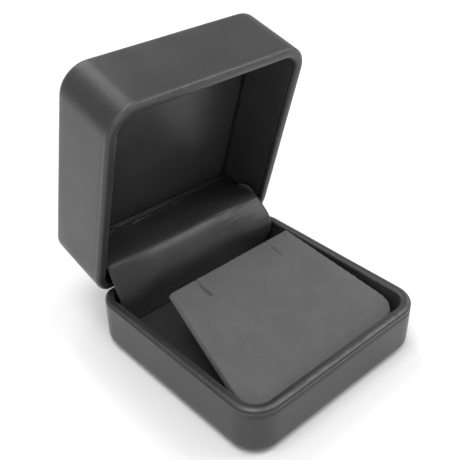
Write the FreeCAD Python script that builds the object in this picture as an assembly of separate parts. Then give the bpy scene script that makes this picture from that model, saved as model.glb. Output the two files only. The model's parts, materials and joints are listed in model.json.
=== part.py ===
import FreeCAD, Part
import math
import os

Vector = FreeCAD.Vector

# Jewelry gift box: a shallow base and a deeper lid, both moulded trays wrapped in
# leatherette, joined by a riveted snap hinge behind a soft cover flap. A sloped
# pad stands in the base. Millimetres. Origin: centre of the resting face, +X to
# the right, +Y to the hinge, +Z up. The box is drawn open, on its open stop.

# Overall sizes
box_width = 80.0
box_depth = 80.0
base_height = 18.5
lid_height = 26.5
parting_gap = 0.4
open_angle = 74.5

# Outline and edges
corner_radius = 10.0
closed_edge_round = 3.0
rim_width = 3.0
rim_round_outer = 1.4
rim_round_inner = 1.0

# Leatherette wrap
wrap_thickness = 0.7
turn_in_depth = 4.5
turn_under_width = 6.0
glue_line = 0.05

# Moulded trays
tray_floor = 1.8

# Panels and linings
bottom_cover_thickness = 0.6
bottom_cover_margin = 3.6
panel_thickness = 1.0
lining_thickness = 0.6
lining_drop = 1.6
lining_fit = 0.15
lining_rear_gap = 6.5

# Hinge
hinge_length = 44.0
knuckle_count = 5
knuckle_radius = 1.0
knuckle_gap = 0.3
knuckle_relief = 0.25
leaf_thickness = 0.4
leaf_height = 10.0
pin_radius = 0.5
pin_clearance = 0.05
pin_head_radius = 0.8
pin_head_thickness = 0.4
stop_gap = 0.3

# Rivets
rivet_count = 3
rivet_spacing = 19.0
rivet_drop = 7.0
rivet_radius = 0.6
rivet_clearance = 0.05
rivet_head_radius = 1.3
rivet_head_height = 0.5

# Snap springs
spring_spacing = 19.0
spring_width = 6.0
spring_thickness = 0.3
spring_reach = 3.2
spring_tab_low = 9.5
spring_tab_high = 7.5

# Cover flap over the hinge
flap_side_gap = 1.85
flap_thickness = 0.8
flap_front_forward = 6.2
flap_front_drop = 3.4
flap_knee_back = 0.6
flap_knee_rise = 9.4
flap_bend_radius = 4.0
flap_foot_stand_off = 4.2
flap_top_stand_off = 1.2
flap_fit = 0.2

# Sloped pad
pad_slope = 16.0
pad_back_height = 27.4
pad_back_to_rear = 26.5
pad_back_inset = 7.8
pad_side_gap = 1.0
pad_front_gap = 0.6
pad_taper_length = 42.0
pad_corner_radius = 8.0
pad_board_thickness = 1.0
pad_foam_thickness = 1.5
pad_cover_thickness = 0.4
slit_length = 8.5
slit_width = 0.7
slit_spacing = 33.0

# Folded card under the pad
card_thickness = 0.8
flange_width = 50.0
flange_setback = 1.6
prop_width = 36.0
prop_tab = 7.0
prop_to_back_edge = 14.0

# Room past a face, so that a cut goes clean through
through = 5.0

# Places that follow from the sizes
parting_z = base_height + parting_gap / 2
axis_y = box_depth / 2 - rim_width - leaf_thickness + knuckle_radius
leaf_y = box_depth / 2 - rim_width - leaf_thickness
half_open = math.radians(open_angle / 2)
tray_inset = wrap_thickness + glue_line
tray_inner_inset = rim_width - wrap_thickness - glue_line
lining_inset = rim_width + glue_line
panel_inset = lining_inset + lining_thickness + lining_fit
base_low = bottom_cover_thickness
base_floor_z = base_low + tray_inset + tray_floor
base_panel_top = base_floor_z + glue_line + panel_thickness
closed_top = base_height + parting_gap + lid_height
lid_ceiling_z = closed_top - tray_inset - tray_floor
lid_board_low = lid_ceiling_z - glue_line - panel_thickness
lid_lining_low = lid_board_low - glue_line - lining_thickness
pad_thickness = pad_board_thickness + pad_foam_thickness + pad_cover_thickness
pad_back_y = box_depth / 2 - pad_back_to_rear
pad_half_front = box_width / 2 - lining_inset - lining_thickness - pad_side_gap
pad_half_back = pad_half_front - pad_back_inset
pad_front_y = -box_depth / 2 + lining_inset + lining_thickness + pad_front_gap
flap_width = box_width - 2 * (lining_inset + lining_thickness + flap_side_gap)


def export(name, solids):
    """Write one node; a node of several alike pieces keeps them as separate solids."""
    shape = solids[0] if len(solids) == 1 else Part.makeCompound(solids)
    shape.exportStep("parts/" + name + ".step")


def one_solid(shape):
    """The single solid that a chain of cuts and joins leaves."""
    return shape.removeSplitter().Solids[0]


def box(low, high):
    """A block between two corners."""
    size = high - low
    return Part.makeBox(size.x, size.y, size.z, low)


def rod(start, direction, radius, length):
    """A round bar from a start point."""
    return Part.makeCylinder(radius, length, start, direction)


def slab(inset, low, high):
    """The box's rounded-rectangle outline, moved in by inset, between two heights."""
    half_w = box_width / 2 - inset
    half_d = box_depth / 2 - inset
    radius = max(corner_radius - inset, 0.5)
    block = box(Vector(-half_w, -half_d, low), Vector(half_w, half_d, high))
    upright = [e for e in block.Edges if abs(e.tangentAt(e.FirstParameter).z) > 0.5]
    return block.makeFillet(radius, upright)


def edges_at(shape, z):
    """Every edge that lies wholly at one height."""
    near = 1e-4
    return [
        e for e in shape.Edges
        if abs(e.BoundBox.ZMin - z) < near and abs(e.BoundBox.ZMax - z) < near
    ]


def rounded_slab(inset, low, high, low_round, high_round):
    """A slab with its lower and upper edges rounded."""
    block = slab(inset, low, high)
    block = block.makeFillet(low_round, edges_at(block, low))
    return block.makeFillet(high_round, edges_at(block, high))


def hinge_relief():
    """What is cut from the base's rear rim: a bevel that stops the lid, and knuckle room."""
    drop = stop_gap / 2 / math.cos(half_open)
    reach = box_depth / 2 + through - axis_y
    corners = [
        Vector(-box_width, axis_y, parting_z + through),
        Vector(-box_width, axis_y, parting_z - drop),
        Vector(-box_width, axis_y + reach, parting_z - drop - reach * math.tan(half_open)),
        Vector(-box_width, axis_y + reach, parting_z + through),
    ]
    bevel = Part.Face(Part.makePolygon(corners + corners[:1]))
    bevel = bevel.extrude(Vector(2 * box_width, 0, 0))
    length = hinge_length + 2 * (pin_head_thickness + pin_clearance + knuckle_relief)
    start = Vector(-length / 2, axis_y, parting_z)
    return bevel.fuse(rod(start, Vector(1, 0, 0), knuckle_radius + knuckle_relief, length))


def upside_down(shape):
    """Turn a shape over about the parting plane, from the base's side to the lid's."""
    return shape.mirror(Vector(0, 0, parting_z), Vector(0, 0, 1))


def opened(shape):
    """Swing a lid shape from closed to its open stop."""
    turned = shape.copy()
    turned.rotate(Vector(0, axis_y, parting_z), Vector(1, 0, 0), -open_angle)
    return turned


def rivet_places():
    """X of each rivet in a leaf."""
    return [(i - (rivet_count - 1) / 2) * rivet_spacing for i in range(rivet_count)]


def rivet_holes():
    """Holes for the base's rivets, through the leaf and the tray's rear wall."""
    radius = rivet_radius + rivet_clearance
    z = parting_z - rivet_drop
    return [
        rod(Vector(x, leaf_y - through, z), Vector(0, 1, 0), radius, 3 * through)
        for x in rivet_places()
    ]


def tray_core(low, high):
    """The tray's outer form, just inside the wrap."""
    return rounded_slab(
        tray_inset, low + tray_inset, high - tray_inset,
        closed_edge_round - tray_inset, rim_round_outer - tray_inset,
    )


def tray(low, high):
    """A moulded tray, open at the top, with rivet holes and the hinge relief."""
    body = tray_core(low, high)
    body = body.cut(slab(tray_inner_inset, low + tray_inset + tray_floor, high + through))
    body = body.cut(hinge_relief())
    for hole in rivet_holes():
        body = body.cut(hole)
    return one_solid(body)


def wrap(low, high, turned_under):
    """Leatherette glued round a tray, over its rim and down the inside."""
    skin = rounded_slab(0, low, high, closed_edge_round, rim_round_outer)
    skin = skin.cut(slab(rim_width, low + wrap_thickness, high + through))
    mouth = [
        e for e in edges_at(skin, high)
        if e.BoundBox.XMax < box_width / 2 - rim_width + 1e-3
        and e.BoundBox.XMin > -box_width / 2 + rim_width - 1e-3
        and e.BoundBox.YMax < box_depth / 2 - rim_width + 1e-3
        and e.BoundBox.YMin > -box_depth / 2 + rim_width - 1e-3
    ]
    skin = skin.makeFillet(rim_round_inner, mouth)
    filling = rounded_slab(
        wrap_thickness, low + wrap_thickness, high - wrap_thickness,
        closed_edge_round - wrap_thickness, rim_round_outer - wrap_thickness,
    )
    turned_in = rim_width - wrap_thickness
    filling = filling.cut(slab(turned_in, high - turn_in_depth, high + through))
    skin = skin.cut(filling)
    if turned_under:
        skin = skin.cut(slab(turn_under_width, low - through, low + wrap_thickness + through))
    return one_solid(skin.cut(hinge_relief()))


def wall_lining(low, high):
    """A covered strip along the left, front and right walls; its ends stop short of the hinge."""
    strip = slab(lining_inset, low, high)
    strip = strip.cut(slab(lining_inset + lining_thickness, low - through, high + through))
    rear = box(
        Vector(-box_width, box_depth / 2 - lining_rear_gap, low - through),
        Vector(box_width, box_depth, high + through),
    )
    return one_solid(strip.cut(rear))


def in_lid(build, low, high, *options):
    """Build a piece as if the lid were a base, then turn it over and open it."""
    mirrored_low = 2 * parting_z - high
    mirrored_high = 2 * parting_z - low
    return opened(upside_down(build(mirrored_low, mirrored_high, *options)))


def knuckle_spans():
    """Start and end of each knuckle along the hinge."""
    pitch = (hinge_length + knuckle_gap) / knuckle_count
    starts = [-hinge_length / 2 + i * pitch for i in range(knuckle_count)]
    return [(x, x + pitch - knuckle_gap) for x in starts]


def leaf(owned):
    """A hinge leaf, hanging below the pin: a plate curled into the knuckles that it owns."""
    spans = knuckle_spans()
    x = Vector(1, 0, 0)
    body = box(
        Vector(-hinge_length / 2, leaf_y, parting_z - leaf_height),
        Vector(hinge_length / 2, leaf_y + leaf_thickness, parting_z),
    )
    for index, (start, end) in enumerate(spans):
        if index % 2 != owned:
            body = body.cut(box(
                Vector(start - knuckle_gap, leaf_y - through, parting_z - knuckle_radius - knuckle_gap),
                Vector(end + knuckle_gap, leaf_y + through, parting_z + through),
            ))
    for index, (start, end) in enumerate(spans):
        if index % 2 == owned:
            body = body.fuse(rod(Vector(start, axis_y, parting_z), x, knuckle_radius, end - start))
    bore = pin_radius + pin_clearance
    body = body.cut(rod(Vector(-hinge_length, axis_y, parting_z), x, bore, 2 * hinge_length))
    for hole in rivet_holes():
        body = body.cut(hole)
    return one_solid(body)


def hinge_pin():
    """The pin, peened over at both ends."""
    x = Vector(1, 0, 0)
    half = hinge_length / 2 + pin_clearance
    pin = rod(Vector(-half, axis_y, parting_z), x, pin_radius, 2 * half)
    for start in (-half - pin_head_thickness, half):
        pin = pin.fuse(rod(Vector(start, axis_y, parting_z), x, pin_head_radius, pin_head_thickness))
    return one_solid(pin)


def rivets():
    """Rivets that hold the lower leaf: a flat head on the leaf, a shank through the tray wall."""
    shank_length = box_depth / 2 - tray_inset - leaf_y
    solids = []
    for x in rivet_places():
        foot = Vector(x, leaf_y, parting_z - rivet_drop)
        shank = rod(foot, Vector(0, 1, 0), rivet_radius, shank_length)
        head = rod(foot, Vector(0, -1, 0), rivet_head_radius, rivet_head_height)
        solids.append(one_solid(shank.fuse(head)))
    return solids


def spoke(radius, angle):
    """A point in the hinge's cross-section; angle is up from straight forward."""
    return Vector(0, axis_y - radius * math.cos(angle), parting_z + radius * math.sin(angle))


def snap_springs():
    """Two bowed strips of spring steel, hooked to both leaves, that snap the lid open and shut."""
    apex_angle = half_open
    y_back = leaf_y
    y_front = leaf_y - spring_thickness
    low = parting_z - spring_tab_high
    solids = []
    for x in (-spring_spacing / 2, spring_spacing / 2):
        left = x - spring_width / 2
        tab = box(
            Vector(left, y_front, parting_z - spring_tab_low),
            Vector(left + spring_width, y_back, low),
        )
        ends = []
        for y in (y_back, y_front):
            start = Vector(0, y, low)
            end = start.sub(Vector(0, axis_y, parting_z))
            end = Vector(0, end.y, -end.z)
            turn = FreeCAD.Rotation(Vector(1, 0, 0), -open_angle)
            end = turn.multVec(end).add(Vector(0, axis_y, parting_z))
            ends.append((start, end))
        (back_start, back_end), (front_start, front_end) = ends
        bow = Part.Face(Part.Wire([
            Part.Arc(back_start, spoke(spring_reach - spring_thickness, apex_angle), back_end).toShape(),
            Part.LineSegment(back_end, front_end).toShape(),
            Part.Arc(front_end, spoke(spring_reach, apex_angle), front_start).toShape(),
            Part.LineSegment(front_start, back_start).toShape(),
        ]))
        bow = bow.extrude(Vector(spring_width, 0, 0))
        bow.translate(Vector(left, 0, 0))
        solids.append(one_solid(tab.fuse(bow).fuse(opened(upside_down(tab)))))
    return solids


def line_edge(first, last):
    """A straight edge."""
    return Part.LineSegment(first, last).toShape()


def flap_side(points, offset):
    """One face of the flap in cross-section: straight runs with round bends, moved out by offset."""
    edges = []
    last = None
    for before, corner, after in zip(points, points[1:], points[2:]):
        arriving = corner.sub(before).normalize()
        leaving = after.sub(corner).normalize()
        out_arriving = Vector(0, -arriving.z, arriving.y)
        out_leaving = Vector(0, -leaving.z, leaving.y)
        trimmed = flap_bend_radius * math.tan(arriving.getAngle(leaving) / 2)
        centre = corner - arriving * trimmed - out_arriving * flap_bend_radius
        radius = flap_bend_radius + offset
        bend_start = centre + out_arriving * radius
        bend_middle = centre + (out_arriving + out_leaving).normalize() * radius
        bend_end = centre + out_leaving * radius
        if last is None:
            last = before + out_arriving * offset
        edges.append(line_edge(last, bend_start))
        edges.append(Part.Arc(bend_start, bend_middle, bend_end).toShape())
        last = bend_end
    edges.append(line_edge(last, points[-1] + out_leaving * offset))
    return edges


def hinge_cover_flap():
    """A doubled leatherette flap from the base's floor, over the hinge, to the lid's ceiling."""
    foot = Vector(0, box_depth / 2 - rim_width - flap_foot_stand_off, base_panel_top + flap_fit)
    front = Vector(0, axis_y - flap_front_forward, parting_z - flap_front_drop)
    knee = Vector(0, axis_y + flap_knee_back, parting_z + flap_knee_rise)
    top = Vector(0, box_depth / 2 - lining_inset - flap_top_stand_off, lid_lining_low - flap_fit)
    top = opened(Part.Vertex(top)).Point
    inner = flap_side([foot, front, knee, top], -flap_thickness / 2)
    outer = flap_side([foot, front, knee, top], flap_thickness / 2)
    outline = Part.Wire(Part.__sortEdges__(
        inner + outer + [
            line_edge(inner[0].valueAt(inner[0].FirstParameter), outer[0].valueAt(outer[0].FirstParameter)),
            line_edge(inner[-1].valueAt(inner[-1].LastParameter), outer[-1].valueAt(outer[-1].LastParameter)),
        ]
    ))
    sheet = Part.Face(outline).extrude(Vector(flap_width, 0, 0))
    sheet.translate(Vector(-flap_width / 2, 0, 0))
    return sheet


def pad_prism(inset, depth_top, depth_bottom):
    """The pad's outline, moved in by inset, as a sloped plate between two depths below its face."""
    length = (pad_back_y - pad_front_y) / math.cos(math.radians(pad_slope))
    spread = pad_half_front - pad_half_back
    taper = pad_taper_length
    slant = inset * math.hypot(taper, spread) / taper
    front = length - inset
    half_start = pad_half_back + spread * inset / taper - slant
    half_full = pad_half_front - slant
    points = [
        Vector(-half_start, -inset, 0), Vector(half_start, -inset, 0),
        Vector(half_full, -taper, 0), Vector(half_full, -front, 0),
        Vector(-half_full, -front, 0), Vector(-half_full, -taper, 0),
    ]
    if front <= taper:
        points = points[:2] + [Vector(half_full, -front, 0), Vector(-half_full, -front, 0)]
    plate = Part.Face(Part.makePolygon(points + points[:1]))
    plate = plate.extrude(Vector(0, 0, depth_bottom - depth_top))
    front_corners = [
        e for e in plate.Edges
        if abs(e.tangentAt(e.FirstParameter).z) > 0.5 and e.CenterOfMass.y < -front + 1e-3
    ]
    plate = plate.makeFillet(pad_corner_radius - inset, front_corners)
    plate.translate(Vector(0, 0, -depth_bottom))
    plate.rotate(Vector(0, 0, 0), Vector(1, 0, 0), pad_slope)
    plate.translate(Vector(0, pad_back_y, pad_back_height))
    return plate


def under_pad(depth):
    """All the room below the plane that lies at one depth under the pad's face."""
    block = box(
        Vector(-box_width, -2 * box_depth, -depth - 2 * box_depth),
        Vector(box_width, 2 * box_depth, -depth),
    )
    block.rotate(Vector(0, 0, 0), Vector(1, 0, 0), pad_slope)
    block.translate(Vector(0, pad_back_y, pad_back_height))
    return block


def pad_slits():
    """Two slits in from the back edge, where a chain hooks in."""
    solids = []
    for x in (-slit_spacing / 2, slit_spacing / 2):
        slit = box(
            Vector(x - slit_width / 2, -slit_length, -pad_thickness - through),
            Vector(x + slit_width / 2, through, through),
        )
        slit.rotate(Vector(0, 0, 0), Vector(1, 0, 0), pad_slope)
        slit.translate(Vector(0, pad_back_y, pad_back_height))
        solids.append(slit)
    return solids


def slitted(plate):
    """A pad layer with the slits cut in it."""
    for slit in pad_slits():
        plate = plate.cut(slit)
    return one_solid(plate)


def pad_cover():
    """Microfibre over the face and down the edges."""
    cap = pad_prism(0, 0, pad_thickness)
    return slitted(cap.cut(pad_prism(pad_cover_thickness, pad_cover_thickness, pad_thickness + through)))


def pad_foam():
    """A thin foam sheet between the cover and the board."""
    top = pad_cover_thickness
    return slitted(pad_prism(pad_cover_thickness, top, top + pad_foam_thickness))


def pad_board():
    """The pad's stiff board, with a front flange folded down to the floor."""
    top = pad_cover_thickness + pad_foam_thickness
    board = pad_prism(pad_cover_thickness, top, pad_thickness)
    front = pad_front_y + flange_setback
    flange = box(
        Vector(-flange_width / 2, front, base_panel_top),
        Vector(flange_width / 2, front + card_thickness, pad_back_height),
    )
    return slitted(board.fuse(flange.common(under_pad(top + pad_board_thickness / 2))))


def pad_prop():
    """A folded card prop under the pad, glued to the floor and to the board."""
    y = pad_back_y - prop_to_back_edge
    half = prop_width / 2
    wall = box(Vector(-half, y, base_panel_top), Vector(half, y + card_thickness, pad_back_height))
    foot = box(
        Vector(-half, y - prop_tab, base_panel_top),
        Vector(half, y + card_thickness, base_panel_top + card_thickness),
    )
    tab = box(Vector(-half, y, base_panel_top), Vector(half, y + prop_tab, pad_back_height))
    tab = tab.common(under_pad(pad_thickness)).cut(under_pad(pad_thickness + card_thickness))
    wall = wall.common(under_pad(pad_thickness))
    return one_solid(wall.fuse(foot).fuse(tab))


def bottom_cover():
    """The covered card glued over the turned-under wrap; the box rests on it."""
    return slab(bottom_cover_margin, 0, bottom_cover_thickness)


def base_floor_panel():
    """The covered card on the tray's floor."""
    return slab(panel_inset, base_floor_z + glue_line, base_panel_top)


def lid_ceiling_board():
    """The card glued inside the top of the lid."""
    return opened(slab(panel_inset, lid_board_low, lid_ceiling_z - glue_line))


def lid_ceiling_lining():
    """The leatherette over the ceiling card."""
    return opened(slab(panel_inset, lid_lining_low, lid_board_low - glue_line))


os.makedirs("parts", exist_ok=True)

lid_low = base_height + parting_gap

export("base_tray", [tray(base_low, base_height)])
export("base_wrap", [wrap(base_low, base_height, True)])
export("base_bottom_cover", [bottom_cover()])
export("base_floor_panel", [base_floor_panel()])
export("base_wall_lining", [wall_lining(base_panel_top + glue_line, base_height - lining_drop)])

export("pad_cover", [pad_cover()])
export("pad_foam", [pad_foam()])
export("pad_board", [pad_board()])
export("pad_prop", [pad_prop()])

export("lid_tray", [in_lid(tray, lid_low, closed_top)])
export("lid_wrap", [in_lid(wrap, lid_low, closed_top, False)])
export("lid_ceiling_board", [lid_ceiling_board()])
export("lid_ceiling_lining", [lid_ceiling_lining()])
export("lid_wall_lining", [in_lid(wall_lining, lid_low + lining_drop, lid_lining_low - glue_line)])

export("lower_hinge_leaf", [leaf(0)])
export("upper_hinge_leaf", [opened(upside_down(leaf(1)))])
export("hinge_pin", [hinge_pin()])
export("lower_hinge_rivets", rivets())
export("upper_hinge_rivets", [opened(upside_down(rivet)) for rivet in rivets()])
export("snap_springs", snap_springs())
export("hinge_cover_flap", [hinge_cover_flap()])
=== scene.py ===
import json
import math

import bpy
from mathutils import Matrix, Vector, noise


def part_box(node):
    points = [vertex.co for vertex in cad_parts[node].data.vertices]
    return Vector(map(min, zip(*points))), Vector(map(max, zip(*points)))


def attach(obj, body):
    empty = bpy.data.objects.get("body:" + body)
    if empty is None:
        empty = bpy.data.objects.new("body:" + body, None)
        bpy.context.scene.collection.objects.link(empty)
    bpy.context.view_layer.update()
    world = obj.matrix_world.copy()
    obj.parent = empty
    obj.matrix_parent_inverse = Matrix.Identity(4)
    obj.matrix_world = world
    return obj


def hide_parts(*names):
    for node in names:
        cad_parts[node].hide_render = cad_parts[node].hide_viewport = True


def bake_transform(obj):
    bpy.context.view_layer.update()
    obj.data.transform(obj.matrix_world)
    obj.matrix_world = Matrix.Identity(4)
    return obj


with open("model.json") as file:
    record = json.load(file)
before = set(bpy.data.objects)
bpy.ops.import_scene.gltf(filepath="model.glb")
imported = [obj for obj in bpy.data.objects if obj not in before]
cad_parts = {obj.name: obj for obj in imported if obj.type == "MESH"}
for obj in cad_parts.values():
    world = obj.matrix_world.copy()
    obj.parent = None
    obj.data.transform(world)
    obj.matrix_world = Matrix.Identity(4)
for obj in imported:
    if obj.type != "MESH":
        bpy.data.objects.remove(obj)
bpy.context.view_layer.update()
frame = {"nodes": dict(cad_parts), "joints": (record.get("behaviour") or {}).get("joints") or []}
mm = 0.001
# Blender's noise vectors start from the clock unless they are seeded.
noise.seed_set(7)

# Floor: a plain pale studio surface that the box stands on. It isn't part of the box.
# Matt painted board gives the eye no gloss, only a soft bounce under the walls.
floor_size = 6.0


def linear(hex_colour):
    """An sRGB hex colour as linear red, green, blue and alpha."""
    parts = [int(hex_colour[i:i + 2], 16) / 255 for i in (1, 3, 5)]
    bent = [c / 12.92 if c <= 0.04045 else ((c + 0.055) / 1.055) ** 2.4 for c in parts]
    return (*bent, 1.0)


def add(tree, kind, settings=None, inputs=None):
    """Add a shader node with its settings; an input is a plain value or another node's output."""
    made = tree.nodes.new("ShaderNode" + kind)
    for name, value in (settings or {}).items():
        setattr(made, name, value)
    for name, value in (inputs or {}).items():
        if isinstance(value, bpy.types.NodeSocket):
            tree.links.new(value, made.inputs[name])
        else:
            made.inputs[name].default_value = value
    return made


def new_material(name):
    """An empty node material, with its tree and its shader."""
    material = bpy.data.materials.new(name)
    material.use_nodes = True
    tree = material.node_tree
    tree.nodes.clear()
    shader = add(tree, "BsdfPrincipled")
    add(tree, "OutputMaterial", inputs={"Surface": shader.outputs["BSDF"]})
    return material, tree, shader


def shown_between(tree, value, low, high, low_out, high_out):
    """Stretch a pattern's values from one span to another."""
    return add(tree, "MapRange", {"interpolation_type": "SMOOTHSTEP"}, {
        "Value": value, "From Min": low, "From Max": high, "To Min": low_out, "To Max": high_out,
    }).outputs["Result"]


def mixed(tree, share, first, second):
    """A colour between two, by share."""
    return add(tree, "Mix", {"data_type": "RGBA"}, {0: share, 6: first, 7: second}).outputs[2]


def painted_board():
    """Matt white board: a fine roller stipple of about 2 mm, hardly seen."""
    material, tree, shader = new_material("matt_white_board")
    place = add(tree, "TexCoord").outputs["Object"]
    stipple = add(tree, "TexNoise", inputs={"Vector": place, "Scale": 1 / (2 * mm)})
    tree.links.new(
        mixed(tree, stipple.outputs["Fac"], linear("#fbfbfb"), linear("#fdfdfd")),
        shader.inputs["Base Color"],
    )
    shader.inputs["Roughness"].default_value = 1.0
    shader.inputs["Specular IOR Level"].default_value = 0.0
    return material


floor_mesh = bpy.data.meshes.new("studio_floor")
reach = floor_size / 2
floor_mesh.from_pydata(
    [(-reach, -reach, 0), (reach, -reach, 0), (reach, reach, 0), (-reach, reach, 0)],
    [], [(0, 1, 2, 3)],
)
floor = bpy.data.objects.new("studio_floor", floor_mesh)
bpy.context.scene.collection.objects.link(floor)
floor_mesh.materials.append(painted_board())

# Light and camera: a white room with one softbox overhead, a second high behind the box, and
# a small one at the right front. The camera stands before the left corner and looks down.
scene = bpy.context.scene
scene.view_settings.view_transform = "Standard"
world = bpy.data.worlds.new("white_room")
world.use_nodes = True
scene.world = world
room = world.node_tree.nodes["Background"]
room.inputs["Color"].default_value = (1.0, 1.0, 1.0, 1.0)
room.inputs["Strength"].default_value = 0.55


def softbox(name, place, aim, width, power):
    """A square area light at a place, turned to a point."""
    data = bpy.data.lights.new(name, "AREA")
    data.size = width
    data.energy = power
    lamp = bpy.data.objects.new(name, data)
    lamp.location = place
    lamp.rotation_euler = (Vector(aim) - Vector(place)).to_track_quat("-Z", "Y").to_euler()
    scene.collection.objects.link(lamp)


middle = (0.0, 0.01, 0.04)
softbox("softbox_right", (0.56, -0.38, 0.72), middle, 0.35, 2.2)
softbox("softbox_top", (-0.25, -0.05, 1.0), middle, 0.55, 4.3)
softbox("softbox_rear", (0.10, 0.66, 0.90), middle, 0.55, 3.1)

camera_place = Vector((-139.5, -141.7, 179.7)) * mm
camera_heading = math.radians(43.07)
camera_dip = math.radians(33.87)
camera_lean = math.radians(0.22)
camera_data = bpy.data.cameras.new("camera")
camera_data.lens = 58.2
camera_data.sensor_width = 36.0
camera_data.shift_x = -0.0264
camera_data.shift_y = -0.0030
camera_data.clip_start = 0.01
camera = bpy.data.objects.new("camera", camera_data)
turn = (
    Matrix.Rotation(-camera_heading, 3, "Z")
    @ Matrix.Rotation(math.radians(90) - camera_dip, 3, "X")
    @ Matrix.Rotation(-camera_lean, 3, "Z")
)
camera.matrix_world = Matrix.Translation(camera_place) @ turn.to_4x4()
scene.collection.objects.link(camera)
scene.camera = camera

# Base wrap: polyurethane leatherette drawn over the base tray, rolled over its rim as
# a soft bead, turned down inside and turned under at the bottom. It is glued all over,
# so it shows the tray's form, softened, with a shallow groove under the bead.
hinge = frame["joints"][0]
axis = Vector(hinge["pos_m"])
open_angle = math.radians(hinge["range_deg"][1])
base_low, base_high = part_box("base_wrap")
half_box = base_high.x
rim_height = base_high.z
corner_radius = 10.0 * mm
rim_width = 3.0 * mm
bead_crest = 1.7 * mm
bead_reach = 3.8 * mm
bead_outer_drop = 1.2 * mm
bead_inner_drop = 1.1 * mm
closed_edge_round = 3.0 * mm
turn_in = 4.5 * mm
turn_under = 6.0 * mm
groove_depth = 0.34 * mm
undercut_top = 0.8 * mm
undercut_low = 2.0 * mm
groove_low = 3.2 * mm
wrap_thickness = 0.45 * mm
unevenness = 0.05 * mm
unevenness_length = 16 * mm


def smooth(low, high, value):
    """0 below low, 1 above high, and a smooth step between."""
    t = min(max((value - low) / (high - low), 0.0), 1.0)
    return t * t * (3 - 2 * t)


def ring_points(half, radius, turns=16, straights=36):
    """Points round a rounded square with the outward direction at each, clockwise from the
    right rear corner. The back comes last."""
    points = []
    centre = half - radius
    for side in range(4):
        start = math.radians(90 - 90 * side)
        end = start - math.radians(90)
        middle_way = start - math.radians(45)
        cx = math.copysign(centre, math.cos(middle_way))
        cy = math.copysign(centre, math.sin(middle_way))
        for i in range(turns + 1):
            a = start + (end - start) * i / turns
            out = Vector((math.cos(a), math.sin(a), 0))
            points.append((Vector((cx, cy, 0)) + radius * out, out))
        along = Vector((math.sin(end), -math.cos(end), 0))
        corner_point, out = points[-1]
        for i in range(1, straights):
            points.append((corner_point + along * 2 * centre * i / straights, out))
    return points


def arc(inset, height, radius, start, end, steps):
    """Inset and height of points on an arc; angles in degrees, 0 inward and 90 up."""
    return [
        (
            inset + radius * math.cos(math.radians(start + (end - start) * i / steps)),
            height + radius * math.sin(math.radians(start + (end - start) * i / steps)),
        )
        for i in range(steps + 1)
    ]


def line(first, last, steps):
    """Inset and height of points between two, ends left out."""
    return [
        tuple(a + (b - a) * i / steps for a, b in zip(first, last)) for i in range(1, steps)
    ]


def wrap_profile(low, rim, underside):
    """Inset and height of the skin from underneath, up the wall, over the rim and down inside."""
    foot = arc(closed_edge_round, low + closed_edge_round, closed_edge_round, -90, -180, 8)
    wall_top = (0.0, rim - groove_low)
    groove_foot = (0.0, rim - undercut_low)
    groove_top = (0.0, rim - bead_outer_drop)
    turns = [math.radians(90 * i / 10) for i in range(11)]
    bead = [
        (bead_crest * (1 - math.cos(a)), rim - bead_outer_drop * (1 - math.sin(a))) for a in turns
    ]
    over = bead_reach - bead_crest
    lip = [
        (bead_crest + over * math.sin(a), rim - bead_inner_drop * (1 - math.cos(a))) for a in turns[1:]
    ]
    tucked = (rim_width + 0.05 * mm, rim - 1.5 * mm)
    inner_end = (rim_width, rim - turn_in)
    return (
        [(underside, low)] + line((underside, low), foot[0], 4) + foot
        + line(foot[-1], wall_top, 8) + [wall_top] + line(wall_top, groove_foot, 10)
        + line(groove_foot, groove_top, 9) + bead + lip
        + line(lip[-1], tucked, 2) + [tucked] + line(tucked, inner_end, 4) + [inner_end]
    )


def relieved(p):
    """Lower a rear rim point to the bevel that the lid stops on, and clear it of the knuckles."""
    slope = math.tan(open_angle / 2)
    knuckle_room = 1.25 * mm
    hinge_half = 22.7 * mm
    half_gap = 0.19 * mm
    blunt = 0.25 * mm
    if p.y > axis.y - 1.0 * mm:
        limit = axis.z - half_gap - (p.y - axis.y) * slope
        over = p.z - limit
        if p.y > axis.y and over > -3 * blunt:
            p = Vector((p.x, p.y, limit - blunt * math.log1p(math.exp(-over / blunt))))
    away = Vector((0, p.y - axis.y, p.z - axis.z))
    if abs(p.x) < hinge_half and away.length < knuckle_room:
        p = Vector((p.x, axis.y, axis.z)) + away.normalized() * knuckle_room
    return p


def hand_laid(p, wavelength, height):
    """A gentle unevenness, as glue and hand pressure leave it."""
    return p + noise.noise_vector(p / wavelength) * height


def skin_point(spot, out, inset, height, groove):
    """A point of a wrap, with the groove under its bead and a slight unevenness. At the back the
    wrap lies flat, without bead or groove."""
    fade = 1 - smooth(28 * mm, 36 * mm, spot.y)
    depth = rim_height - height
    if inset < rim_width / 2:
        under = smooth(undercut_top, undercut_low, depth)
        under *= 1 - smooth(undercut_low, groove_low, depth)
        inset += groove_depth * groove(out) * fade * under
    if inset > rim_width and height > rim_height - turn_in:
        inset = rim_width + (inset - rim_width) * fade
    p = spot - out * inset
    return relieved(hand_laid(Vector((p.x, p.y, height)), unevenness_length, unevenness))


def sheet_object(name, rows, ring=False, cap=None, turned_over=False):
    """A smooth mesh over rows of points. A ring joins each row's ends; a cap closes the first row."""
    wide = len(rows[0])
    points = [p for row in rows for p in row]
    faces = []
    for r in range(len(rows) - 1):
        for c in range(wide if ring else wide - 1):
            d = (c + 1) % wide
            faces.append((r * wide + c, (r + 1) * wide + c, (r + 1) * wide + d, r * wide + d))
    if cap is not None:
        points.append(cap)
        faces += [(len(points) - 1, c, (c + 1) % wide) for c in range(wide)]
    mesh = bpy.data.meshes.new(name)
    mesh.from_pydata(points, [], faces)
    if turned_over:
        mesh.flip_normals()
    mesh.shade_smooth()
    made = bpy.data.objects.new(name, mesh)
    scene.collection.objects.link(made)
    return made


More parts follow.
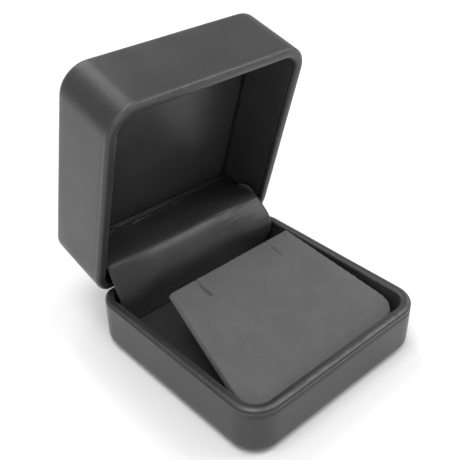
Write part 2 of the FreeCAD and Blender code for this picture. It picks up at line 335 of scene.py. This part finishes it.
def thickened(piece, thickness):
    """Give a sheet its thickness, behind its face."""
    solid = piece.modifiers.new("thickness", "SOLIDIFY")
    solid.thickness = thickness
    solid.offset = -1.0


def mark_painted_highlight_and_wear(piece, painted_highlight_and_wear):
    """Store how far each point is painted lighter, for the material: a painted highlight, and on the
    flap also crease wear.
    """
    layer = piece.data.attributes.new("painted_highlight_and_wear", "FLOAT", "POINT")
    layer.data.foreach_set("value", painted_highlight_and_wear)


def ridge(value, width):
    """A soft ridge or fold across a value of 0."""
    return math.exp(-(value / width) ** 2)


def wrap_object(name, low, underside, closed, place, groove, highlight_inset, crest_highlight_share):
    """A wrap's skin; a closed one also covers the end. groove gives each side's share of the groove;
    the last two arguments place the painted highlight along the crest, and give each side's share of
    it."""
    ring = ring_points(half_box, corner_radius)
    end = Vector((0, 0, low))
    rows, painted_highlight_and_wear = [], []
    cap = None
    if closed:
        for share in (0.12, 0.3, 0.5, 0.7, 0.85):
            rows.append([
                hand_laid((spot - out * underside) * share + end, unevenness_length, unevenness)
                for spot, out in ring
            ])
            painted_highlight_and_wear += [0.0] * len(ring)
        cap = place(hand_laid(end, unevenness_length, unevenness))
    for inset, height in wrap_profile(low, rim_height, underside):
        rows.append([skin_point(spot, out, inset, height, groove) for spot, out in ring])
        # Painted highlight: the crest is painted lighter in a band round the given inset, where the
        # light catches it.
        on_crest = smooth(rim_height - 1.6 * mm, rim_height - 0.8 * mm, height)
        lightened_share = on_crest * ridge(inset - highlight_inset, 0.5 * mm)
        painted_highlight_and_wear += [lightened_share * crest_highlight_share(out) for spot, out in ring]
    rows = [[place(p) for p in row] for row in rows]
    made = sheet_object(name, rows, ring=True, cap=cap, turned_over=closed)
    mark_painted_highlight_and_wear(made, painted_highlight_and_wear + ([0.0] if cap else []))
    thickened(made, wrap_thickness)
    return made


def leatherette(name, colour, highlight_and_wear_colour, roughness, grain):
    """Polyurethane leatherette, embossed with a fine pebble grain and satin finished. It gives
    the eye a soft broad sheen, with slightly uneven tone where glue and handling show."""
    material, tree, shader = new_material(name)
    place = add(tree, "TexCoord").outputs["Object"]
    pebble = add(tree, "TexVoronoi", {"feature": "SMOOTH_F1"}, {
        "Vector": place, "Scale": 1 / grain, "Smoothness": 0.6, "Randomness": 1.0,
    }).outputs["Distance"]
    crease = add(tree, "TexNoise", inputs={
        "Vector": place, "Scale": 1 / (2.2 * mm), "Detail": 4.0, "Roughness": 0.6,
    }).outputs["Fac"]
    tone = add(tree, "TexNoise", inputs={
        "Vector": place, "Scale": 1 / (14 * mm), "Detail": 3.0, "Roughness": 0.55,
    }).outputs["Fac"]
    dark = tuple(c * 0.90 for c in linear(colour)[:3]) + (1.0,)
    light = tuple(c * 1.10 for c in linear(colour)[:3]) + (1.0,)
    base = mixed(tree, shown_between(tree, tone, 0.3, 0.7, 0.0, 1.0), dark, light)
    in_pores = mixed(
        tree, shown_between(tree, pebble, 0.25, 0.65, 0.0, 0.22), base, (0.0, 0.0, 0.0, 1.0)
    )
    # Where the mesh's attribute marks it, the colour is lightened towards the second colour. On the
    # wraps' crests and the flap's curled edge this is a painted highlight. On the flap's folds it is
    # crease wear with a painted highlight.
    lightened_share = add(tree, "Attribute", {"attribute_name": "painted_highlight_and_wear"}).outputs["Fac"]
    patchy = shown_between(tree, crease, 0.35, 0.65, 0.35, 0.8)
    share = add(tree, "Math", {"operation": "MULTIPLY"}, {0: lightened_share, 1: patchy}).outputs[0]
    tree.links.new(mixed(tree, share, in_pores, linear(highlight_and_wear_colour)), shader.inputs["Base Color"])
    tree.links.new(
        shown_between(tree, tone, 0.3, 0.7, roughness - 0.04, roughness + 0.05),
        shader.inputs["Roughness"],
    )
    fine = add(tree, "Bump", inputs={"Strength": 0.35, "Distance": grain * 0.10, "Height": pebble})
    fine.invert = True
    soft = add(tree, "Bump", inputs={
        "Strength": 0.25, "Distance": 0.06 * mm, "Height": crease, "Normal": fine.outputs["Normal"],
    })
    tree.links.new(soft.outputs["Normal"], shader.inputs["Normal"])
    shader.inputs["IOR"].default_value = 1.5
    shader.inputs["Sheen Weight"].default_value = 0.05
    shader.inputs["Sheen Roughness"].default_value = 0.4
    return material


# The real grain is about 0.3 mm; drawn at 0.45 mm, because finer wouldn't show.
# 6c6c6c is the painted highlight along the wrap crests.
charcoal = leatherette("charcoal_leatherette", "#363636", "#6c6c6c", 0.36, 0.45 * mm)


def as_drawn(p):
    """A base point, which is drawn where it belongs."""
    return p


def base_groove_and_highlight(out):
    """The groove is pressed in along the front and the front corners, and there the crest is painted
    lighter as a highlight.
    """
    return 0.1 + 0.9 * smooth(0.2, 0.8, -out.y)


base_skin = wrap_object(
    "base_wrap_skin", base_low.z, turn_under, False, as_drawn, base_groove_and_highlight, 1.1 * mm, base_groove_and_highlight,
)
base_skin.data.materials.append(charcoal)
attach(base_skin, "base")
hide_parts("base_wrap")

# Lid wrap: one square blank of the same leatherette, drawn over the closed top, down the
# walls, over the rim bead and inside. It is drawn as if the lid stood like a base, then
# turned over the parting plane and swung to its open stop.
lid_height = 26.5 * mm
lid_low = rim_height - lid_height
lid_turned_on = 9.0 * mm


def opened(p):
    """A lid point, given as if the lid stood like the base, turned over and swung open."""
    turned = Vector((p.x, p.y, 2 * axis.z - p.z)) - axis
    return axis + Matrix.Rotation(-open_angle, 3, "X") @ turned


def lid_groove(out):
    """The lid's groove is faint all round."""
    return 0.12


def lid_crest_highlight(out):
    """The lid's crest is painted lighter as a highlight, most along its front."""
    return 0.1 + 0.5 * smooth(0.2, 0.8, -out.y)


lid_skin = wrap_object(
    "lid_wrap_skin", lid_low, lid_turned_on, True, opened, lid_groove, 0.4 * mm, lid_crest_highlight,
)
lid_skin.data.materials.append(charcoal)
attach(lid_skin, "lid")
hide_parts("lid_wrap")

# Trays: injection-moulded black plastic under the wraps, seen only at the rear corners
# inside. Moulding leaves a fine spark-eroded texture and a low gloss.


def moulded_plastic():
    """Black ABS from an eroded mould: an even, fine matt texture."""
    material, tree, shader = new_material("moulded_abs_black")
    place = add(tree, "TexCoord").outputs["Object"]
    spark = add(tree, "TexNoise", inputs={"Vector": place, "Scale": 1 / (0.35 * mm), "Detail": 3.0})
    flow = add(tree, "TexNoise", inputs={"Vector": place, "Scale": 1 / (20 * mm)})
    tree.links.new(
        mixed(tree, flow.outputs["Fac"], linear("#242424"), linear("#2b2b2b")),
        shader.inputs["Base Color"],
    )
    tree.links.new(
        shown_between(tree, spark.outputs["Fac"], 0.3, 0.7, 0.5, 0.68), shader.inputs["Roughness"]
    )
    bump = add(tree, "Bump", inputs={
        "Strength": 0.3, "Distance": 0.03 * mm, "Height": spark.outputs["Fac"],
    })
    tree.links.new(bump.outputs["Normal"], shader.inputs["Normal"])
    return material


def finish(names, material):
    """Give CAD pieces a finish."""
    for name in names:
        mesh = frame["nodes"][name].data
        mesh.materials.clear()
        mesh.materials.append(material)


finish(["base_tray", "lid_tray"], moulded_plastic())

# Wall linings: strips of black leatherette folded over thin card, pressed in round the
# left, front and right walls. The top edge is the soft fold.
lining_inset = 3.1 * mm
lining_face = 3.65 * mm
lining_fold = (lining_face - lining_inset) / 2
lining_drop = 1.6 * mm
lining_rear_gap = 6.5 * mm
lining_turned_down = 3 * mm
cover_thickness = 0.2 * mm
panel_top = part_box("base_floor_panel")[1].z
lid_ceiling = rim_height - lid_height + 4.2 * mm
black_lining = leatherette("black_leatherette", "#434343", "#4f4f4f", 0.34, 0.45 * mm)


def lining_object(name, low, place, turned_over):
    """A folded strip round three walls."""
    top = rim_height - lining_drop
    limit = half_box - lining_rear_gap
    ring = [(s, o) for s, o in ring_points(half_box, corner_radius) if s.y < limit]
    bend = arc(lining_inset + lining_fold, top - lining_fold, lining_fold, 180, 0, 8)
    turned_end = (lining_inset, top - lining_turned_down)
    profile = (
        [turned_end] + line(turned_end, bend[0], 2) + bend
        + line(bend[-1], (lining_face, low), 12) + [(lining_face, low)]
    )
    rows = []
    for inset, height in profile:
        rows.append([
            place(hand_laid(spot - out * inset + Vector((0, 0, height)), 9 * mm, 0.08 * mm))
            for spot, out in ring
        ])
    made = sheet_object(name, rows, turned_over=turned_over)
    thickened(made, cover_thickness)
    made.data.materials.append(black_lining)
    return made, sum((a[0] - b[0]).length for a, b in zip(ring, ring[1:]))


base_lining, strip = lining_object("base_wall_lining_strip", panel_top, as_drawn, False)
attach(base_lining, "base")
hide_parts("base_wall_lining")

lid_lining, strip = lining_object("lid_wall_lining_strip", lid_ceiling, opened, True)
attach(lid_lining, "lid")
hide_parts("lid_wall_lining")

# Covered cards: leatherette over card, on the floor of the base, on the ceiling of the
# lid and under the base. Each has softly rounded edges where the cover turns round it.
panel_inset = 3.72 * mm
card_edge = 0.25 * mm
card_turned_behind = 4 * mm


def card_laid(p):
    """A point of a cover that is glued on by hand."""
    return hand_laid(p, 14 * mm, 0.07 * mm)


def covered_card(name, inset, face, thickness, crown, place, turned_over, material):
    """A card's cover: a face with a slight crown, rolled down at its edge and turned behind."""
    ring = ring_points(half_box, corner_radius)
    rows = []
    for share in (0.06, 0.16, 0.28, 0.4, 0.52, 0.64, 0.75, 0.85, 0.93):
        level = Vector((0, 0, face + crown * (1 - share ** 2) ** 0.8))
        rows.append([
            card_laid((spot - out * (inset + card_edge)) * share + level) for spot, out in ring
        ])
    edge = arc(inset + card_edge, face - card_edge, card_edge, 90, 180, 5)
    edge += [(inset, face - thickness), (inset + card_turned_behind, face - thickness)]
    for step_inset, height in edge:
        rows.append([
            card_laid(spot - out * step_inset + Vector((0, 0, height))) for spot, out in ring
        ])
    cap = place(card_laid(Vector((0, 0, face + crown))))
    rows = [[place(p) for p in row] for row in rows]
    made = sheet_object(name, rows, ring=True, cap=cap, turned_over=not turned_over)
    thickened(made, cover_thickness)
    made.data.materials.append(material)
    return made


floor_cover = covered_card(
    "base_floor_cover", panel_inset, panel_top, 0.9 * mm, 0.1 * mm, as_drawn, False, black_lining
)
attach(floor_cover, "base")
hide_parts("base_floor_panel")

ceiling_cover = covered_card(
    "lid_ceiling_cover", panel_inset, lid_ceiling, 0.6 * mm, 0.5 * mm, opened, True, black_lining
)
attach(ceiling_cover, "lid")
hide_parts("lid_ceiling_lining")


def under_base(p):
    """Turn a face-up card over, so that it faces the table."""
    return Vector((p.x, p.y, -p.z))


bottom_cover = covered_card(
    "base_bottom_cover_skin", 3.6 * mm, 0.0, 0.6 * mm, -0.05 * mm, under_base, True, charcoal
)
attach(bottom_cover, "base")
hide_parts("base_bottom_cover")

# Cover flap: two layers of leatherette glued back to back, fixed to the base's floor and
# to the foot of the lid's ceiling. It rolls over the hinge, and wrinkles where it is
# tucked in at the ceiling and against the right wall.
flap_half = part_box("hinge_cover_flap")[1].x
flap_thickness = 0.8 * mm
flap_foot = Vector((0, half_box - rim_width - 4.2 * mm, panel_top + 0.2 * mm))
flap_top = opened(Vector((0, half_box - rim_width - 1.25 * mm, lid_ceiling + 0.7 * mm)))
tuck_length = 1.8 * mm
steps_across = 220


def flap_path(front, knee, rounding):
    """The flap's middle line in cross-section: up from its foot to its front, back to a knee over
    the hinge, level to the foot of the ceiling, and tucked up against it."""
    near_top = flap_top.lerp(knee, 0.28)
    runs = ((flap_foot, front, 20), (front, knee, 30), (knee, near_top, 32), (near_top, flap_top, 24))
    points = [flap_foot]
    for first, last, steps in runs:
        points += [first.lerp(last, (i + 1) / steps) for i in range(steps)]
    points = softened(points, rounding)
    up_ceiling = opened(Vector((0, 0, 0))) - opened(Vector((0, 1, 0)))
    points += [flap_top + up_ceiling * tuck_length * (i + 1) / 7 for i in range(7)]
    return softened(points, 2)


def softened(points, times):
    """Points of a line drawn towards their neighbours, the ends held."""
    for _ in range(times):
        inner = [(a + 2 * b + c) / 4 for a, b, c in zip(points, points[1:], points[2:])]
        points = [points[0]] + inner + [points[-1]]
    return points


left_path = flap_path(axis + Vector((0, -6.2, -3.4)) * mm, axis + Vector((0, 0.6, 9.4)) * mm, 28)
middle_path = flap_path(axis + Vector((0, -8.4, -1.2)) * mm, axis + Vector((0, 0.0, 10.2)) * mm, 90)
right_path = flap_path(axis + Vector((0, -11.2, 1.6)) * mm, axis + Vector((0, -0.8, 10.8)) * mm, 60)


def flap_spot(i, share):
    """The flap's middle line at a share of its half width. It swells more towards the right."""
    spot = left_path[i].lerp(middle_path[i], smooth(-1.0, -0.5, share))
    return spot.lerp(right_path[i], smooth(0.2, 1.0, share))


reached = [0.0]
for first, second in zip(left_path, left_path[1:]):
    reached.append(reached[-1] + (second - first).length)
flap_length = reached[-1]
knee_reached = 25 * mm
fold_height = 0.55 * mm
curl_height = 2.0 * mm


def crinkle(x, length, seed):
    """How a fold comes and goes along its run, from 0 to about 1."""
    return min(max(0.55 + 0.9 * noise.noise(Vector((x / length, seed, 0))), 0.0), 1.2)


def folds(x, gone):
    """The folds at the tuck: two crinkled lines and a faint third, up to about 1 on their crests."""
    before_tuck = flap_length - tuck_length - gone
    wander = noise.noise(Vector((x / (8 * mm), 3.1, 0))) * 0.6 * mm
    fade = (1 - smooth(12 * mm, 24 * mm, x)) * smooth(-36 * mm, -26 * mm, x)
    first = crinkle(x, 1.3 * mm, 8.3) * ridge(before_tuck - 0.5 * mm - wander, 0.30 * mm)
    second = crinkle(x, 2.1 * mm, 4.7) * ridge(before_tuck - 2.6 * mm - 1.6 * wander, 0.32 * mm)
    third = crinkle(x, 3.0 * mm, 6.1) * ridge(before_tuck - 4.2 * mm - 2 * wander, 0.35 * mm)
    return fade * (first + second + 0.4 * third)


def wrinkles(x, gone):
    """How far the flap stands proud at a place: folds at the tuck, fine creases, soft waves."""
    out = fold_height * folds(x, gone)
    creases = smooth(6 * mm, 20 * mm, x) * smooth(14 * mm, 19 * mm, gone)
    creases *= 1 - smooth(24 * mm, 28 * mm, gone)
    out += 0.10 * mm * creases * noise.noise(Vector((x / (8 * mm), gone / (0.9 * mm), 1.7)))
    out += 0.20 * mm * noise.noise(Vector((x / (24 * mm), gone / (8 * mm), 5.5)))
    return out


flap_rows = []
flap_highlight_and_wear = []
for i, gone in enumerate(reached):
    before = max(i - 1, 0)
    after = min(i + 1, len(reached) - 1)
    row = []
    for j in range(steps_across + 1):
        share = 2 * j / steps_across - 1
        x = flap_half * share
        spot = flap_spot(i, share)
        along = (flap_spot(after, share) - flap_spot(before, share)).normalized()
        out = Vector((0, -along.z, along.y))
        curl = smooth(0.955, 1.0, share) * smooth(knee_reached - 1 * mm, knee_reached + 4 * mm, gone)
        curl *= curl_height * (1 - smooth(knee_reached + 6 * mm, knee_reached + 11 * mm, gone))
        free_edge = 0.25 * mm * smooth(0.97, 1.0, abs(share))
        proud = flap_thickness / 2 + wrinkles(x, gone) + curl - free_edge
        row.append(spot + Vector((x, 0, 0)) + out * proud)
        # The curled right edge is painted lighter as a highlight, where it catches the light. The fold
        # crests are lighter, partly crease wear and partly a painted highlight.
        edge_highlight = 0.7 * smooth(0.975, 0.99, share) * curl / (1 * mm)
        flap_highlight_and_wear.append(min(folds(x, gone) + edge_highlight, 1.0))
    flap_rows.append(row)
flap = sheet_object("hinge_flap", flap_rows, turned_over=True)
mark_painted_highlight_and_wear(flap, flap_highlight_and_wear)
thickened(flap, flap_thickness)
# 8c8c8c is the lighter tone of the flap's painted highlights and crease wear.
soft_black = leatherette("soft_black_leatherette", "#404040", "#8c8c8c", 0.36, 0.40 * mm)
flap.data.materials.append(soft_black)
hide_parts("hinge_cover_flap")
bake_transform(flap)

# Hinge: two pressed steel leaves curled into knuckles, a peened pin, riveted to the trays.
# Nickel plating over the pressed steel gives a soft satin shine.


def plated_steel(name, colour, roughness):
    """Plated or blued steel strip: faint drawing lines along it, and a soft satin shine."""
    material, tree, shader = new_material(name)
    place = add(tree, "TexCoord").outputs["Object"]
    drawn = add(tree, "Mapping", inputs={
        "Vector": place, "Scale": (0.08, 1.0, 1.0),
    }).outputs["Vector"]
    lines = add(tree, "TexNoise", inputs={"Vector": drawn, "Scale": 1 / (0.12 * mm), "Detail": 2.0})
    stain = add(tree, "TexNoise", inputs={"Vector": place, "Scale": 1 / (4 * mm), "Detail": 3.0})
    shade = tuple(c * 0.82 for c in linear(colour)[:3]) + (1.0,)
    tree.links.new(
        mixed(tree, stain.outputs["Fac"], shade, linear(colour)), shader.inputs["Base Color"]
    )
    tree.links.new(
        shown_between(tree, lines.outputs["Fac"], 0.3, 0.7, roughness, roughness + 0.14),
        shader.inputs["Roughness"],
    )
    bump = add(tree, "Bump", inputs={
        "Strength": 0.2, "Distance": 0.01 * mm, "Height": lines.outputs["Fac"],
    })
    tree.links.new(bump.outputs["Normal"], shader.inputs["Normal"])
    shader.inputs["Metallic"].default_value = 1.0
    return material


finish(
    ["lower_hinge_leaf", "upper_hinge_leaf", "hinge_pin", "lower_hinge_rivets", "upper_hinge_rivets"],
    plated_steel("nickel_plated_steel", "#c9c7c1", 0.28),
)

# Snap springs: two bowed strips of blued spring steel, hooked to both leaves. They bend as the lid
# swings;
# each is drawn here as a thin strip at the open stop.
spring_reach = 3.2 * mm
spring_width = 6.0 * mm
spring_spacing = 19.0 * mm
spring_thickness = 0.3 * mm
leaf_thickness = 0.4 * mm
spring_y = half_box - rim_width - leaf_thickness - spring_thickness / 2
spring_foot = Vector((0, spring_y, axis.z - 9.5 * mm))
spring_hook = Vector((0, spring_y, axis.z - 7.5 * mm))


def spring_bow():
    """The arc from the lower hook, round the front of the hinge, to the upper hook."""
    forward = Vector((0, -math.cos(open_angle / 2), math.sin(open_angle / 2)))
    arm = spring_hook - axis
    behind = (arm.length_squared - spring_reach ** 2) / (2 * (arm.dot(forward) - spring_reach))
    centre = axis + forward * behind
    half_turn = forward.angle(spring_hook - centre)
    turns = [half_turn * (1 - 2 * i / 40) for i in range(41)]
    return [
        centre + Matrix.Rotation(turn, 3, "X") @ forward * (spring_reach - behind) for turn in turns
    ]


blued_steel = plated_steel("blued_spring_steel", "#8d8f96", 0.32)
spring_path = [spring_foot] + spring_bow() + [opened(spring_foot)]
for name, side in (("snap_spring_left", -1), ("snap_spring_right", 1)):
    spring_middle = side * spring_spacing / 2
    spring_places = [
        Vector((spring_middle + share * spring_width / 2, 0, 0)) for share in (-1, 0, 1)
    ]
    strip = sheet_object(name, [[p + place for place in spring_places] for p in spring_path])
    thickened(strip, spring_thickness)
    strip.modifiers["thickness"].offset = 0.0
    strip.data.materials.append(blued_steel)
    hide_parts("snap_springs")
    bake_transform(strip)

# Sloped pad: microfibre glued over a thin foam sheet on a card, and down its edges. The
# face is slightly crowned with soft edges, and two slits run in from the back edge.
pad_low, pad_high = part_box("pad_cover")
pad_slope = math.radians(16)
pad_back = Vector((0, half_box - 26.5 * mm, 27.4 * mm))
pad_half_front = pad_high.x
pad_half_back = pad_half_front - 7.8 * mm
pad_taper = 42 * mm
pad_length = (pad_back.y - pad_low.y - 0.8 * mm) / math.cos(pad_slope)
pad_depth = 2.6 * mm
pad_corner = 8 * mm
slit_spacing = 33 * mm
slit_length = 8.5 * mm
slit_depth = 1.1 * mm
slit_half = 0.35 * mm
lip_height = 0.16 * mm
most_swell = 0.35 * mm
cover_pressure = 4.0
cloth_scale = 10.0


def on_pad(p):
    """A point given by x, distance towards the back and height over the pad, in the box."""
    return pad_back + Matrix.Rotation(pad_slope, 3, "X") @ p


def pad_outline(inset):
    """The pad seen square on: a trapezium that runs straight near the front, with round corners."""
    points = [Vector((pad_half_back - inset, -inset, 0))]
    points.append(Vector((pad_half_front - inset, -pad_taper, 0)))
    radius = pad_corner - inset
    centre = Vector((pad_half_front - inset - radius, -pad_length + inset + radius, 0))
    for i in range(13):
        a = -math.radians(90) * i / 12
        points.append(centre + radius * Vector((math.cos(a), math.sin(a), 0)))
    return points + [Vector((-p.x, p.y, 0)) for p in reversed(points)]


def pad_blank():
    """A flat closed block of the pad's outline, at the scale that the cloth is worked at."""
    outline = pad_outline(0.15 * mm)
    count = len(outline)
    top = [p * cloth_scale for p in outline]
    bottom = [Vector((p.x, p.y, -pad_depth * cloth_scale)) for p in top]
    faces = [tuple(range(count))[::-1], tuple(range(count, 2 * count))]
    faces += [(i, (i + 1) % count, count + (i + 1) % count, count + i) for i in range(count)]
    mesh = bpy.data.meshes.new("slope_pad")
    mesh.from_pydata(top + bottom, [], faces)
    made = bpy.data.objects.new("slope_pad", mesh)
    scene.collection.objects.link(made)
    remesh = made.modifiers.new("remesh", "REMESH")
    remesh.mode = "VOXEL"
    remesh.voxel_size = 0.55 * mm * cloth_scale
    take_result(made)
    return made


def take_result(piece):
    """Keep what the modifiers make as the piece's own mesh."""
    bpy.context.view_layer.update()
    seen = piece.evaluated_get(bpy.context.evaluated_depsgraph_get())
    result = bpy.data.meshes.new_from_object(seen)
    piece.modifiers.clear()
    piece.data = result


def puff(piece, most):
    """Let the cover swell over the foam under light pressure, with its underside held."""
    rest = [v.co.copy() for v in piece.data.vertices]
    floor_level = min(p.z for p in rest)
    held = piece.vertex_groups.new(name="glued")
    low = [i for i, p in enumerate(rest) if p.z < floor_level + 1.2 * mm * cloth_scale]
    held.add(low, 1.0, "REPLACE")
    cloth = piece.modifiers.new("cover", "CLOTH")
    cloth.settings.vertex_group_mass = held.name
    cloth.settings.use_pressure = True
    cloth.settings.uniform_pressure_force = cover_pressure
    cloth.settings.effector_weights.gravity = 0.0
    cloth.settings.quality = 4
    for number in range(1, 21):
        scene.frame_set(number)
    take_result(piece)
    scene.frame_set(1)
    for vertex, start in zip(piece.data.vertices, rest):
        move = vertex.co - start
        if move.length > most:
            vertex.co = start + move.normalized() * most
    piece.vertex_groups.clear()


pad = pad_blank()
puff(pad, most_swell * cloth_scale)
pad.data.transform(Matrix.Scale(1 / cloth_scale, 4))
relax = pad.modifiers.new("relax", "SMOOTH")
relax.factor = 0.5
relax.iterations = 5
finer = pad.modifiers.new("finer", "SUBSURF")
finer.levels = 1
take_result(pad)
for vertex in pad.data.vertices:
    p = vertex.co.copy()
    face = smooth(-1.2 * mm, -0.4 * mm, p.z)
    for side, pressed in ((-1, 1.0), (1, 0.6)):
        bow = 0.5 * mm * math.sin(math.pi * min(max(-p.y / slit_length, 0.0), 1.0))
        off = p.x - side * slit_spacing / 2 + bow
        past_end = max(-slit_length - p.y, 0.0)
        gap = math.hypot(off, past_end)
        cut = ridge(gap, slit_half * 1.5) * (0.4 + 0.6 * smooth(1 * mm, 6 * mm, -p.y))
        lip = ridge(gap - 1.3 * mm, 0.6 * mm)
        lip *= smooth(-slit_length - 1 * mm, -slit_length + 2 * mm, p.y)
        p.z += face * pressed * (lip_height * lip - slit_depth * cut)
    bump = noise.noise(p / (13 * mm)) * 0.12 * mm + noise.noise(p / (4 * mm)) * 0.03 * mm
    p.z += bump * face
    vertex.co = on_pad(p)
pad.data.shade_smooth()


def microfibre():
    """Microfibre suede: a short brushed nap. It gives the eye a soft matt bloom, lighter and
    darker where the nap has been stroked different ways."""
    material, tree, shader = new_material("microfibre_suede_grey")
    place = add(tree, "TexCoord").outputs["Object"]
    nap = add(tree, "TexNoise", inputs={
        "Vector": place, "Scale": 1 / (0.35 * mm), "Detail": 5.0, "Roughness": 0.7,
    }).outputs["Fac"]
    stroked = add(tree, "TexNoise", inputs={
        "Vector": place, "Scale": 1 / (9 * mm), "Detail": 3.0, "Distortion": 0.8,
    }).outputs["Fac"]
    ground = mixed(
        tree, shown_between(tree, stroked, 0.3, 0.7, 0.0, 1.0), linear("#686868"), linear("#6d6d6d")
    )
    fibres = mixed(tree, shown_between(tree, nap, 0.3, 0.7, 0.0, 0.35), ground, linear("#3c3c3c"))
    tree.links.new(fibres, shader.inputs["Base Color"])
    bump = add(tree, "Bump", inputs={"Strength": 0.5, "Distance": 0.06 * mm, "Height": nap})
    tree.links.new(bump.outputs["Normal"], shader.inputs["Normal"])
    shader.inputs["Roughness"].default_value = 0.95
    shader.inputs["Specular IOR Level"].default_value = 0.16
    shader.inputs["Sheen Weight"].default_value = 0.16
    shader.inputs["Sheen Roughness"].default_value = 0.5
    return material


pad.data.materials.clear()
pad.data.materials.append(microfibre())
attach(pad, "base")
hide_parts("pad_cover", "pad_foam")

# Card under the pad: the board with its front flange, the folded prop, and the card behind
# the lid's lining. Black-dyed greyboard shows short pressed fibres and a dull face.


def greyboard():
    """Dyed greyboard: short fibres of about 1 mm pressed flat."""
    material, tree, shader = new_material("dyed_greyboard")
    place = add(tree, "TexCoord").outputs["Object"]
    fibres = add(tree, "TexNoise", inputs={
        "Vector": place, "Scale": 1 / (0.5 * mm), "Detail": 6.0, "Roughness": 0.75,
    }).outputs["Fac"]
    pale_share = shown_between(tree, fibres, 0.35, 0.65, 0.0, 1.0)
    tree.links.new(
        mixed(tree, pale_share, linear("#1f1e1d"), linear("#33312f")), shader.inputs["Base Color"]
    )
    bump = add(tree, "Bump", inputs={"Strength": 0.4, "Distance": 0.04 * mm, "Height": fibres})
    tree.links.new(bump.outputs["Normal"], shader.inputs["Normal"])
    shader.inputs["Roughness"].default_value = 0.9
    return material


finish(["pad_board", "pad_prop", "lid_ceiling_board"], greyboard())
